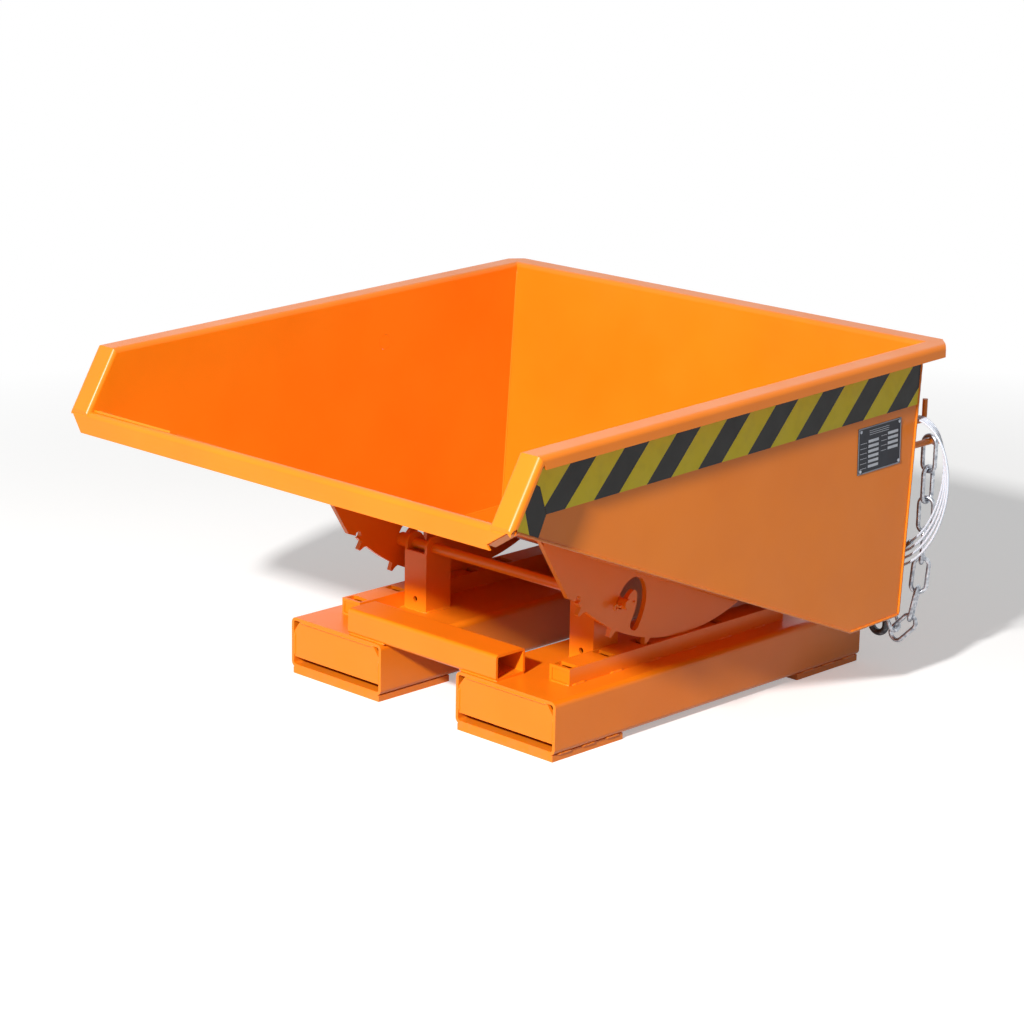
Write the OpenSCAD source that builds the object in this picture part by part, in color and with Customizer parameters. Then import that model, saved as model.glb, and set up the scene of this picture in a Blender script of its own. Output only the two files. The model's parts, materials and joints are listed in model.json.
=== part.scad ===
// Tipping hopper for fork trucks. A sheet steel bin stands on two toothed rockers,
// which roll forward along two slotted rails on top of the fork pockets.
// X is to the right, Y to the rear, where the forks go in, and Z is up from the floor.

/* [Fork pockets] */
// Outer width of a fork pocket
pocket_w = 200; // [170:1:215]
// Outer height of a fork pocket
pocket_h = 80; // [74:1:92]
// Wall of the fork pockets
pocket_wall = 5; // [4:0.5:7]
// Outer corner radius of the fork pockets
pocket_corner = 9; // [8:0.5:12]
// Clear width between the two pockets
pocket_gap = 160; // [140:1:180]
// Distance from the reference point forward to the pockets' front ends
pocket_front = 217; // [205:1:225]
// Thickness of the end plates in the pockets' front ends
end_plate_t = 5; // [3:0.5:8]
// How far an end plate stands back from the pocket's mouth
end_plate_inset = 1; // [0.5:0.5:4]
// Slot left open below an end plate
end_slot_h = 12; // [8:1:20]
// Width and height of an end plate's cut corners
end_corner = [13, 17]; // [8:1:20]

/* [Foot pads] */
// Thickness of the foot pads
pad_t = 10; // [6:1:15]
// Width of the foot pads
pad_w = 192; // [150:1:196]
// Length of the foot pads
pad_l = 148; // [100:1:180]

/* [Cross tubes] */
// Depth of a cross tube along Y
cross_d = 60; // [40:1:62]
// Height of a cross tube
cross_h = 40; // [30:1:42]
// Wall of the cross tubes
cross_wall = 4; // [3:0.5:5]
// Outer corner radius of the cross tubes
cross_corner = 6; // [5:0.5:8]
// Length of the cross tubes
cross_l = 314; // [290:1:325]
// Distance from the pockets' ends to the cross tubes
cross_inset = 4; // [1:0.5:5]

/* [Rack rails] */
// Width of a rail
rail_w = 40; // [34:1:44]
// Height of a rail
rail_h = 25; // [22:1:30]
// Wall of the rails
rail_wall = 5; // [3:0.5:6]
// Distance from the centre plane to the middle of a rail
rail_x = 221; // [215:1:230]
// Distance from the pockets' front to the rails
rail_front = 69.5; // [69:0.5:72]
// Length of the rails
rail_l = 480; // [440:1:520]
// Distance from the pockets' front to the first slot's middle
rack_first = 82.5; // [81:0.5:86]
// Distance between slots, and between the rockers' teeth
pitch = 80; // [76:1:82]
// Number of slots in each rail
rack_slots = 5; // [5:1:5]
// Size of a slot across and along the rail
rack_slot = [32, 16]; // [14:0.5:34]
// Thickness of the plates that close the rails' front ends
rail_plate_t = 4; // [3:0.5:6]

/* [Posts and guide rod] */
// Width of a post
post_w = 48; // [40:1:50]
// Depth of a post's ears along Y
post_d = 53; // [48:1:60]
// Plate thickness of a post
post_t = 5; // [4:0.5:6]
// Distance from the centre plane to the middle of a post
post_x = 176; // [170:1:177]
// Distance from the pockets' front to the posts
post_front = 163; // [160:1:166]
// Height of a post's front plate
post_h = 94; // [85:1:100]
// Diameter of the hole in a post's front plate
post_hole = 9; // [6:0.5:12]
// Height of that hole above the pocket
post_hole_z = 18; // [14:1:30]
// Radius of the round top of an ear
ear_r = 18; // [14:0.5:19]
// Diameter of the guide rod
rod_d = 16; // [14:0.5:18]
// How far the guide rod stands out beyond the rockers
rod_end = 16; // [12:0.5:25]
// Distance from the post's front plate back to the rod
rod_back = 19; // [18.5:0.5:21]
// Depth of the rod's middle below the bin's floor at rest
rod_under = 55.8; // [54:0.1:58]
// Radial clearance of the rod in its collars and in the posts
rod_clear = 0.05; // [0.02:0.01:0.1]
// Diameter of the collars between posts and rockers
collar_d = 22; // [20:0.5:26]
// Wire diameter of the split pins through the rod's ends
split_pin_d = 4; // [3:0.5:5]
// Length of those split pins
split_pin_l = 36; // [28:1:44]

/* [Rockers] */
// Radius of the rolling rim
rim_r = 338; // [336:0.5:340]
// Gap between the rim and the rail at rest
roll_gap = 0.3; // [0.2:0.1:0.6]
// Thickness of a rocker plate
rocker_t = 8; // [6:0.5:10]
// Distance from the centre plane to the middle of a rocker
rocker_x = 231; // [228:0.5:233]
// Number of teeth on a rocker
teeth = 4; // [4:1:4]
// Height of a tooth beyond the rim
tooth_h = 12.5; // [9:0.5:14]
// Width of a tooth at its root
tooth_w = 14; // [11:0.5:14.5]
// Width of a tooth at its tip
tooth_tip = 4; // [3:0.5:6]
// How far the tip sits forward of the tooth's middle
tooth_lean = 3; // [1:0.5:4]
// Angle of the stop notch in front of the first tooth
notch_angle = 44.2; // [44:0.1:45]
// Radius of the stop notch
notch_r = 5.5; // [4:0.5:6]
// Angle of the rocker's front lower corner
toe_angle = 47.2; // [46.5:0.1:48]
// How far that corner stands out beyond the rolling rim
toe_out = 6.6; // [5:0.1:8]
// Distance from the roll axis forward to a rocker's front upper corner
rocker_brow = 313; // [305:1:320]
// Clearance round the rod in the hook shaped slot
slot_clear = 2; // [1.5:0.1:3]
// Steel left between that slot's end and the rolling rim
slot_web = 7.6; // [6:0.1:9]
// Angle through which the hopper tips
tip_angle = 55; // [50:1:55]

/* [Bin] */
// Sheet thickness of the bin
sheet = 3; // [2:0.5:4]
// Width of the bin over its side walls
bin_w = 840; // [820:1:880]
// Forward lean of the bin at rest
rest_lean = 1.7; // [1:0.1:2]
// Height of the rim above the roll axis
rim_top = 83.5; // [80:0.5:90]
// How far the rolling rim reaches below the bin's flat bottom
rim_below = 4.5; // [4:0.5:6]
// Distance from the roll axis back to the flat bottom's front fold
fold_back = 154; // [152:1:160]
// Distance from the roll axis back to the foot of the rear wall
heel_back = 270; // [265:1:275]
// Distance from the roll axis back to the rear wall's top
rear_back = 309; // [300:1:315]
// Distance from the roll axis forward to the top of the front edge
brow_fwd = 548; // [535:1:555]
// Distance from there forward to the pouring lip
lip_ahead = 55; // [50:1:58]
// Depth of the pouring lip below the roll axis
lip_drop = 3; // [1:0.5:8]

/* [Rim and lip] */
// Width of the rim's fold beyond the side walls
rim_w = 38; // [34:1:44]
// Depth of the rim's turned down flange
rim_drop = 19; // [17:0.5:26]
// Depth of the flange along the slanted front edges
front_drop = 11; // [10:0.5:20]
// Outer radius of the rim's bends
bend_r = 8; // [6:0.5:9]
// Cut across the rim's rear corners
rim_cut = 33; // [26:1:33]
// Depth of the flange on the pouring lip
lip_h = 35; // [30:1:40]
// Width and height of the cut at the lip flange's left corner
lip_cut_left = [22, 35]; // [10:1:50]
// Width and height of the cut at the lip flange's right corner
lip_cut_right = [45, 28]; // [10:1:50]
// Depth of the returns along those two cuts
lip_return = 17; // [8:1:20]
// Width and length of the weld strip at the left of the lip
strip = [14, 175]; // [10:1:200]

/* [Hazard tape and rating plate] */
// Width of the hazard tape
tape_w = 73; // [60:1:80]
// Thickness of the tape
tape_t = 0.5; // [0.3:0.1:1]
// Distance of the tape's front from the slanted front edge
tape_back = 12; // [8:1:16]
// Height of the tape's lower edge above the roll axis
tape_z = -11; // [-18:1:-8]
// Width and height of the rating plate
plate = [101, 70]; // [60:1:110]
// Thickness of the rating plate
plate_t = 1; // [0.8:0.1:2]
// Distance from the roll axis back to the plate's front edge
plate_back = 159; // [120:1:165]
// Gap between the tape and the plate
plate_gap = 12; // [3:0.5:20]
// Head diameter of the plate's rivets
rivet_d = 5; // [4:0.5:6]

/* [Plugs on the roll axis] */
// Diameter of the blanking plugs in the side walls
plug_d = 24; // [16:1:30]
// Radial clearance of a plug in its hole
plug_clear = 0.3; // [0.2:0.1:0.5]

/* [Release latch] */
// Thickness of the latch lever
latch_t = 8; // [6:0.5:10]
// Diameter of the latch pin
latch_pin_d = 10; // [8:0.5:12]
// Height of the latch pin above the floor
latch_z = 215; // [212:1:220]
// Distance from the rear wall back to the latch pin
latch_out = 39.65; // [36:0.05:44]
// Distance from the latch pin back to the rear cross tube's middle
latch_ahead = 13; // [11:0.5:14]
// Distance from the latch pin back to the catch bar
catch_back = 8; // [6:0.5:10]
// Height of the catch bar above the rear cross tube
catch_up = 22; // [20:0.5:24]
// Diameter of the catch bar
catch_d = 12; // [10:0.5:13]
// Angle between the released and the locked lever
latch_angle = 18; // [16:1:20]

/* [Rope and chain] */
// Diameter of the pull rope
rope_d = 4; // [3:0.5:5]
// Number of rope loops on the hook
rope_loops = 4; // [3:1:5]
// Diameter of the rope hook's bar
hook_d = 8; // [6:0.5:10]
// Distance from the centre plane to the rope hook
hook_x = 408; // [395:1:410]
// Wire diameter of the chain
wire_d = 7; // [6:0.5:7.5]
// Inner length of a chain link
link_in = 48.5; // [44:0.5:52]
// Outer width of a chain link
link_w = 30; // [27:0.5:34]
// Gap between neighbouring links
link_gap = 0.3; // [0.2:0.1:0.6]
// Diameter of the pegs that carry the chain
peg_d = 10; // [8:0.5:11]

/* [Hidden] */
$fn = 64;
steel = "#e87f1e";
zinc = "#b9bcc2";
front_y = -pocket_front;
pocket_x = (pocket_gap + pocket_w) / 2;
pocket_top = pad_t + pocket_h;
rail_top = pocket_top + rail_h;
roll_y = front_y + rack_first + (teeth - 1) * pitch;
roll_z = rail_top + roll_gap + rim_r;
rod_y = front_y + post_front + rod_back;
tooth_step = pitch / rim_r * 180 / PI;
rocker_in = rocker_x - rocker_t / 2;
rocker_out = rocker_x + rocker_t / 2;
wall_out = bin_w / 2;
wall_in = wall_out - sheet;
rim_out = wall_out + rim_w;
rod_l = 2 * (rocker_out + rod_end);
bottom_drop = rim_r - rim_below;
lip_fwd = brow_fwd + lip_ahead;

// Corners of the bin's outer side profile, [y, z] from the roll axis, before it leans
lip_pt = [-lip_fwd, -lip_drop];
fold_pt = [fold_back, -bottom_drop];
heel_pt = [heel_back, -bottom_drop];
rear_pt = [rear_back, rim_top];
brow_pt = [-brow_fwd, rim_top];
bin_profile = [lip_pt, fold_pt, heel_pt, rear_pt, brow_pt];

function unit(v) = v / norm(v);
function turn(p, a) = [p[0] * cos(a) - p[1] * sin(a), p[0] * sin(a) + p[1] * cos(a)];
// Point of the rocker at angle a forward of straight down and radius r, seen from the roll axis
function polar(a, r) = [-r * sin(a), -r * cos(a)];
// Where line p-q reaches the height z
function at_z(p, q, z) = p + (q - p) * (z - p[1]) / (q[1] - p[1]);
// Where line p-q reaches the depth y
function at_y(p, q, y) = p + (q - p) * (y - p[0]) / (q[0] - p[0]);

front_dir = unit(brow_pt - lip_pt);
front_normal = [-front_dir[1], front_dir[0]];
floor_dir = unit(fold_pt - lip_pt);
floor_up = [-floor_dir[1], floor_dir[0]];
floor_lean = atan2(-floor_dir[1], floor_dir[0]);
// Centre of the bend that turns the floor down into the lip's flange
lip_y = lip_pt[0] + bend_r;
lip_centre = [lip_y, at_y(lip_pt, fold_pt, lip_y)[1] - (bend_r - sheet) / floor_dir[0]];

lip_world = turn(lip_pt, rest_lean);
fold_world = turn(fold_pt, rest_lean);
// Rear wall's outer face at height z above the roll axis, in the bin's frame
function wall_y(z) = at_z(heel_pt, rear_pt, z)[0];
// The same point in the part's frame
function wall_world(z) = [roll_y, roll_z] + turn([wall_y(z), z], rest_lean);

// The latch stands behind the rear wall, the rear cross tube under it, and the pockets end behind that
latch_y = wall_world(latch_z - roll_z)[0] + latch_out;
cross_rear_y = latch_y + latch_ahead - cross_d / 2;
rear_y = cross_rear_y + cross_d + cross_inset;
pocket_l = rear_y - front_y;
rod_ahead = roll_y - rod_y;
slot_half = rod_d / 2 + slot_clear;
// The rod's height keeps its slot midway between the bin's floor and the rim
rod_off_floor = rod_under - at_y(lip_world, fold_world, -rod_ahead)[1];
rod_off_rim = sqrt(pow(rim_r - slot_half - slot_web, 2) - pow(rim_r * tip_angle * PI / 180 - rod_ahead, 2));
rod_below = (rod_off_floor + rod_off_rim) / 2;
rod_h = roll_z - rod_below;
rod_z = rod_h - pocket_top;

// General shapes

// Rectangle with round corners
module rounded(w, h, r) {
    square([w - 2 * r, h], center = true);
    square([w, h - 2 * r], center = true);
    for (sx = [-1, 1], sy = [-1, 1])
        translate([sx * (w / 2 - r), sy * (h / 2 - r)]) circle(r = r);
}

// Rectangular hollow section
module hollow(w, h, r, wall) {
    difference() {
        rounded(w, h, r);
        rounded(w - 2 * wall, h - 2 * wall, max(r - wall, 1));
    }
}

// Extrudes a [y, z] outline along X between x0 and x1
module along_x(x0, x1) {
    translate([x0, 0, 0]) rotate([90, 0, 90]) linear_extrude(x1 - x0) children();
}

// The same on the chosen side of the centre plane, -1 for left and 1 for right
module side_plate(side, x0, x1) {
    mirror([side < 0 ? 1 : 0, 0, 0]) along_x(x0, x1) children();
}

// Round bar along X
module bar_x(x0, x1, d) {
    translate([x0, 0, 0]) rotate([0, 90, 0]) cylinder(h = x1 - x0, d = d);
}

// Round bar along Y
module bar_y(y0, y1, d) {
    translate([0, y0, 0]) rotate([-90, 0, 0]) cylinder(h = y1 - y0, d = d);
}

// Moves the roll axis from the origin to its place over the rails
module on_axis() {
    translate([0, roll_y, roll_z]) children();
}

// Places what is drawn in the bin's own level frame
module on_bin() {
    on_axis() rotate([rest_lean, 0, 0]) children();
}

// Base frame

module fork_pocket(side) {
    color(steel)
    translate([side * pocket_x, rear_y, pad_t + pocket_h / 2])
        rotate([90, 0, 0]) linear_extrude(pocket_l)
            hollow(pocket_w, pocket_h, pocket_corner, pocket_wall);
}

module pocket_end_plate(side) {
    w = pocket_w / 2 - pocket_wall;
    z1 = pocket_top - pocket_wall;
    z0 = pad_t + pocket_wall + end_slot_h;
    color(steel)
    translate([side * pocket_x, front_y + end_plate_inset + end_plate_t, 0])
        rotate([90, 0, 0]) linear_extrude(end_plate_t)
            polygon([
                [-w, z0], [w, z0], [w, z1 - end_corner[1]], [w - end_corner[0], z1],
                [-w + end_corner[0], z1], [-w, z1 - end_corner[1]],
            ]);
}

module foot_pads(y0) {
    color(steel)
    for (side = [-1, 1])
        translate([side * pocket_x - pad_w / 2, y0, 0]) cube([pad_w, pad_l, pad_t]);
}

module cross_tube(y0) {
    color(steel)
    translate([0, y0 + cross_d / 2, pocket_top + cross_h / 2])
        along_x(-cross_l / 2, cross_l / 2) hollow(cross_d, cross_h, cross_corner, cross_wall);
}

module rack_rail(side) {
    color(steel)
    translate([side * rail_x, front_y, pocket_top])
        difference() {
            translate([-rail_w / 2, rail_front, 0]) cube([rail_w, rail_l, rail_h]);
            translate([-rail_w / 2 + rail_wall, rail_front - 1, -1])
                cube([rail_w - 2 * rail_wall, rail_l + 2, rail_h - rail_wall + 1]);
            for (k = [0:rack_slots - 1])
                translate([-rack_slot[0] / 2, rack_first + k * pitch - rack_slot[1] / 2, rail_h - rail_wall - 1])
                    cube([rack_slot[0], rack_slot[1], rail_wall + 2]);
        }
}

module rail_end_plates() {
    w = rail_w - 2 * rail_wall;
    inset = 1.5;
    color(steel)
    for (side = [-1, 1])
        translate([side * rail_x - w / 2, front_y + rail_front + inset, pocket_top])
            cube([w, rail_plate_t, rail_h - rail_wall]);
}

// Side outline of a post's ear, with its round top about the rod
module ear() {
    shoulder = 26;
    circle(r = ear_r, $fn = 96);
    polygon([
        [-rod_back, -rod_z], [post_d - rod_back, -rod_z], [post_d - rod_back, -shoulder],
        turn([ear_r, 0], 30), [-ear_r, 0], [-rod_back, -shoulder / 2],
    ]);
}

module post(side) {
    color(steel)
    translate([side * post_x, rod_y, rod_h])
        difference() {
            union() {
                for (x0 = [-post_w / 2, post_w / 2 - post_t])
                    along_x(x0, x0 + post_t) ear();
                translate([-post_w / 2, -rod_back, -rod_z]) cube([post_w, post_t, post_h]);
            }
            bar_x(-post_w, post_w, rod_d + 2 * rod_clear);
            translate([0, 0, post_hole_z - rod_z]) bar_y(-rod_back - 1, -rod_back + post_t + 1, post_hole);
        }
}

module guide_rod() {
    color(steel)
    translate([0, rod_y, rod_h])
        difference() {
            bar_x(-rod_l / 2, rod_l / 2, rod_d);
            for (side = [-1, 1])
                translate([side * (rod_l / 2 - split_pin_d * 1.5), 0, 0]) bar_y(-rod_d, rod_d, split_pin_d);
        }
}

module rod_collars() {
    gap = 0.4;
    color(steel)
    for (side = [-1, 1])
        translate([0, rod_y, rod_h])
            mirror([side < 0 ? 1 : 0, 0, 0])
                difference() {
                    bar_x(post_x + post_w / 2 + gap, rocker_in - gap, collar_d);
                    bar_x(post_x, rocker_out, rod_d + 2 * rod_clear);
                }
}

// Split pins through the rod's ends, with a round eye in front
module split_pins() {
    eye_r = split_pin_d;
    color(steel)
    for (side = [-1, 1])
        translate([side * (rod_l / 2 - split_pin_d * 1.5), rod_y, rod_h]) {
            bar_y(-split_pin_l / 2, split_pin_l / 2, split_pin_d);
            translate([0, -split_pin_l / 2 - eye_r, 0])
                rotate([0, 90, 0]) rotate_extrude() translate([eye_r, 0]) circle(d = split_pin_d * 0.8);
        }
}

// Release latch

catch_y = latch_y + catch_back;
catch_z = pocket_top + cross_h + catch_up;
nose_r = latch_z - catch_z;
lug_gap = latch_t / 2 + 10;
lug_t = 8;

module catch_lugs() {
    h = catch_up + catch_d;
    color(steel)
    for (side = [-1, 1])
        translate([side * (lug_gap + lug_t / 2) - lug_t / 2, 0, 0])
            difference() {
                along_x(0, lug_t) {
                    translate([catch_y, catch_z]) circle(d = catch_d * 2);
                    translate([catch_y - catch_d, pocket_top + cross_h]) square([catch_d * 2, catch_up]);
                }
                translate([-1, catch_y, catch_z]) bar_x(0, lug_t + 2, catch_d);
            }
}

module catch_bar() {
    color(steel)
    translate([0, catch_y, catch_z]) bar_x(-lug_gap - lug_t, lug_gap + lug_t, catch_d);
}

ear_gap = latch_t / 2 + 1;
ear_t = 6;
bracket_r = latch_pin_d;

module latch_bracket() {
    wall_lo = wall_world(latch_z - roll_z - 24);
    wall_hi = wall_world(latch_z - roll_z + 24);
    color(steel)
    for (side = [-1, 1])
        side_plate(side, ear_gap, ear_gap + ear_t)
            difference() {
                union() {
                    translate([latch_y, latch_z]) circle(r = bracket_r);
                    polygon([
                        wall_lo, [latch_y, latch_z - bracket_r], [latch_y, latch_z + bracket_r], wall_hi,
                    ]);
                }
                translate([latch_y, latch_z]) circle(d = latch_pin_d);
            }
}

module latch_pin() {
    head = 4;
    color(zinc)
    translate([0, latch_y, latch_z]) {
        bar_x(-ear_gap - ear_t - head, ear_gap + ear_t + head, latch_pin_d);
        for (side = [-1, 1])
            translate([side * (ear_gap + ear_t + head / 2 + 0.2), 0, 0])
                bar_x(-head / 2, head / 2, latch_pin_d + 6);
    }
}

lever_arm = 46;
lever_eye = 9;

// Lever drawn locked, with its nose under the catch bar, then turned to its released place
module latch_lever() {
    nose_gap = 1.5;
    nose_t = 9;
    body_w = 14;
    reach = catch_back + catch_d / 2;
    nose_z = -nose_r - catch_d / 2 - nose_gap;
    color(steel)
    translate([0, latch_y, latch_z])
        rotate([-latch_angle, 0, 0])
            difference() {
                along_x(-latch_t / 2, latch_t / 2) {
                    circle(d = latch_pin_d + 12);
                    translate([-body_w - 1, nose_z - nose_t]) square([body_w, nose_r + nose_t + 4]);
                    translate([-body_w - 1, nose_z - nose_t]) square([body_w + reach, nose_t]);
                    translate([-body_w / 2, 0]) square([body_w, lever_arm]);
                    translate([0, lever_arm]) circle(r = lever_eye);
                }
                bar_x(-latch_t, latch_t, latch_pin_d + 0.1);
                translate([0, 0, lever_arm]) bar_x(-latch_t, latch_t, lever_eye);
            }
}

// Plugs on the roll axis, which are all that the rolling stage of the joint carries
module centre_plugs() {
    color(steel)
    on_axis()
        for (side = [-1, 1])
            translate([side * (wall_in + sheet / 2), 0, 0])
                bar_x(-sheet / 2 + 0.1, sheet / 2 - 0.1, plug_d);
}

// Bin

module side_wall(side) {
    top = rim_top - bend_r;
    back = [bend_r / front_dir[1], 0];
    front = at_z(lip_pt, brow_pt, top) + back;
    low = at_z(lip_pt, brow_pt, lip_centre[1]) + back;
    color(steel)
    on_bin()
        side_plate(side, wall_in, wall_out)
            difference() {
                polygon([
                    lip_centre + floor_up * (bend_r - sheet), fold_pt, heel_pt,
                    [wall_y(top), top], front, low, lip_centre,
                ]);
                circle(d = plug_d + 2 * plug_clear);
                lip_round();
            }
}

// Space in front of the floor that the lip's bend takes up, seen from the side
module lip_round() {
    far = 4 * bend_r;
    translate(lip_centre)
        intersection() {
            circle(r = bend_r);
            rotate(-floor_lean) translate([-far, -far]) square([far, 2 * far]);
        }
    translate(lip_centre - [far, far]) square([far, far]);
    translate(lip_pt - [far, far]) square([far, far]);
}

module floor_plate() {
    corner = fold_pt + [sheet * tan(floor_lean / 2), sheet];
    color(steel)
    on_bin()
        along_x(-wall_in, wall_in)
            polygon([
                lip_centre + floor_up * (bend_r - sheet), fold_pt, heel_pt, heel_pt + [0, sheet],
                corner, lip_centre + floor_up * bend_r,
            ]);
}

module rear_wall() {
    top = rim_top - bend_r;
    z0 = -bottom_drop + sheet;
    color(steel)
    on_bin()
        along_x(-wall_in, wall_in)
            polygon([
                [wall_y(z0), z0], [wall_y(top), top],
                [wall_y(top) - sheet, top], [wall_y(z0) - sheet, z0],
            ]);
}

// Folded edge: u runs outward from the wall's inner face, v is 0 on the fold's flat face
module edge_fold(w, drop) {
    inner = bend_r - sheet;
    difference() {
        union() {
            translate([bend_r, -bend_r]) circle(r = bend_r);
            translate([w - bend_r, -bend_r]) circle(r = bend_r);
            translate([bend_r, -bend_r]) square([w - 2 * bend_r, bend_r]);
            translate([w - sheet, -drop]) square([sheet, drop - bend_r]);
        }
        translate([bend_r, -bend_r]) circle(r = inner);
        translate([w - bend_r, -bend_r]) circle(r = inner);
        translate([bend_r, -2 * bend_r]) square([w - 2 * bend_r, 2 * bend_r - sheet]);
        translate([0, -2 * bend_r]) square([bend_r, bend_r]);
        translate([w - bend_r, -2 * bend_r]) square([bend_r - sheet, bend_r]);
    }
}

fold_w = rim_w + sheet;
rear_in = wall_y(rim_top - bend_r) - sheet;
rear_out = rear_in + fold_w;
// Direction of the mitre between the level rim and the slanted front edge, [y, z]
mitre = unit([front_dir[0] - 1, front_dir[1]]);

// Cuts the rims' rear corners: a square prism beyond the diagonal
module corner_cut() {
    far = 4 * rim_w;
    translate([rim_out, rear_out - rim_cut, -far]) rotate([0, 0, 45]) cube([far, far, 2 * far]);
}

// Whole fold of one side's rim, before its ends are cut
module side_fold() {
    translate([wall_in, rear_out, rim_top])
        rotate([90, 0, 0]) linear_extrude(rear_out + brow_fwd + rim_w) edge_fold(fold_w, rim_drop);
}

module rim_side(side) {
    far = 3 * rim_w;
    color(steel)
    on_bin()
        mirror([side < 0 ? 1 : 0, 0, 0])
            difference() {
                side_fold();
                along_x(wall_in - 1, rim_out + 1)
                    polygon([
                        brow_pt + mitre * far, brow_pt - mitre * far,
                        brow_pt - mitre * far - [2 * far, 0], brow_pt + mitre * far - [2 * far, 0],
                    ]);
                translate([wall_in, rear_in, -far]) rotate([0, 0, 45])
                    translate([-far, 0, 0]) cube([3 * far, far, 3 * far]);
                corner_cut();
            }
}

module rim_rear() {
    far = 3 * rim_w;
    plate_h = rim_drop - sheet;
    color(steel)
    on_bin() {
        difference() {
            translate([rim_out, rear_in, rim_top])
                rotate([90, 0, -90]) linear_extrude(2 * rim_out) mirror([1, 0]) edge_fold(fold_w, rim_drop);
            for (side = [-1, 1])
                mirror([side < 0 ? 1 : 0, 0, 0]) {
                    translate([wall_in, rear_in, -far]) rotate([0, 0, 45])
                        translate([-far, -far, 0]) cube([3 * far, far, 3 * far]);
                    corner_cut();
                }
        }
        for (side = [-1, 1])
            mirror([side < 0 ? 1 : 0, 0, 0])
                difference() {
                    translate([rim_out, rear_out - rim_cut, rim_top - rim_drop]) rotate([0, 0, 45])
                        translate([-sheet, 0, 0]) cube([sheet, rim_cut * sqrt(2), plate_h]);
                    translate([rim_out - sheet, 0, rim_top - rim_drop - 1])
                        cube([sheet + 1, 2 * rear_out, plate_h + 2]);
                    side_fold();
                }
    }
}

module front_flange(side) {
    l = norm(brow_pt - lip_pt);
    far = 3 * rim_w;
    color(steel)
    on_bin()
        mirror([side < 0 ? 1 : 0, 0, 0])
            difference() {
                translate([wall_in, lip_pt[0], lip_pt[1]])
                    rotate([atan2(-front_dir[0], front_dir[1]), 0, 0])
                        translate([0, 0, -rim_w]) linear_extrude(l + 2 * rim_w)
                            mirror([0, 1]) edge_fold(fold_w, front_drop);
                along_x(wall_in - 1, rim_out + 1) {
                    polygon([
                        brow_pt + mitre * far, brow_pt - mitre * far,
                        brow_pt - mitre * far + [2 * far, 0], brow_pt + mitre * far + [2 * far, 0],
                    ]);
                    lip_round();
                    polygon([
                        lip_centre, lip_centre + floor_up * bend_r,
                        lip_centre + floor_up * bend_r + floor_dir * far, lip_centre + [far, -far],
                        lip_centre - [0, far],
                    ]);
                }
            }
}

// Outline of the lip's flange seen from the front, [x, z] from the lip's height
module lip_outline() {
    foot = 6;
    polygon([
        [-rim_out, bend_r], [-rim_out, 0], [lip_cut_left[0] - rim_out, -lip_cut_left[1]],
        [rim_out - lip_cut_right[0] + foot, -lip_h], [rim_out - lip_cut_right[0], -lip_cut_right[1]],
        [rim_out, 0], [rim_out, bend_r],
    ]);
}

// Fold that turns the floor down into the lip's flange
module lip_flange() {
    far = 4 * bend_r;
    color(steel)
    on_bin() {
        intersection() {
            along_x(-rim_out, rim_out) {
                translate([lip_pt[0], lip_pt[1] - lip_h]) square([sheet, lip_centre[1] - lip_pt[1] + lip_h]);
                difference() {
                    translate(lip_centre) circle(r = bend_r);
                    translate(lip_centre) circle(r = bend_r - sheet);
                    translate(lip_centre - [far, far]) square([2 * far, far]);
                    translate(lip_centre) rotate(-floor_lean) translate([0, -far]) square([far, 2 * far]);
                }
            }
            translate([0, lip_pt[0] + far, lip_pt[1]])
                rotate([90, 0, 0]) linear_extrude(2 * far) lip_outline();
        }
        lip_corner_return(lip_cut_right);
        mirror([1, 0, 0]) lip_corner_return(lip_cut_left);
    }
}

// Return that runs back from the flange's cut corner, as steep as the floor
module lip_corner_return(cut) {
    far = 2 * lip_return;
    up = unit([-cut[1], cut[0]]) * sheet;
    intersection() {
        translate([rim_out, lip_pt[0], lip_pt[1]])
            rotate([-90 - floor_lean, 0, 0]) translate([0, 0, -far]) linear_extrude(3 * far)
                scale([1, floor_dir[0]])
                    polygon([[0, 0], [-cut[0], cut[1]], [-cut[0], cut[1]] + [up[0], -up[1]], [up[0], -up[1]]]);
        translate([0, lip_pt[0] + sheet, lip_pt[1] - far - lip_h])
            cube([2 * rim_out, lip_return - sheet, far + lip_h - bend_r]);
    }
}

module lip_weld_strip() {
    up = floor_up * sheet;
    start = lip_centre + floor_up * bend_r + floor_dir;
    color(steel)
    on_bin()
        along_x(-wall_in, -wall_in + strip[1])
            polygon([
                start, start + floor_dir * strip[0],
                start + floor_dir * strip[0] + up, start + up,
            ]);
}

// Rockers

// Path of the rod through the rocker while the rim rolls through the angle a
function rod_path(a) =
    let (y = -rod_ahead + rim_r * a * PI / 180)
    turn([y, -rod_below], -a);
function rod_side(a, w) =
    let (d = unit(rod_path(a + 0.5) - rod_path(a - 0.5)))
    rod_path(a) + [-d[1], d[0]] * w;

module hook_slot() {
    steps = 22;
    angles = [for (i = [0:steps]) tip_angle * i / steps];
    polygon(concat(
        [for (a = angles) rod_side(a, slot_half)],
        [for (i = [0:steps]) rod_side(angles[steps - i], -slot_half)]
    ));
    for (a = [0, tip_angle])
        translate(rod_path(a)) circle(r = slot_half);
}

module tooth() {
    root = rim_r - 2;
    tip = rim_r + tooth_h;
    h = tooth_w / 2;
    polygon([
        [-h, -root], [-tooth_lean - tooth_tip / 2, -tip],
        [-tooth_lean + tooth_tip / 2, -tip], [h * 0.35, -rim_r - tooth_h * 0.35], [h + 1, -root],
    ]);
}

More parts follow.
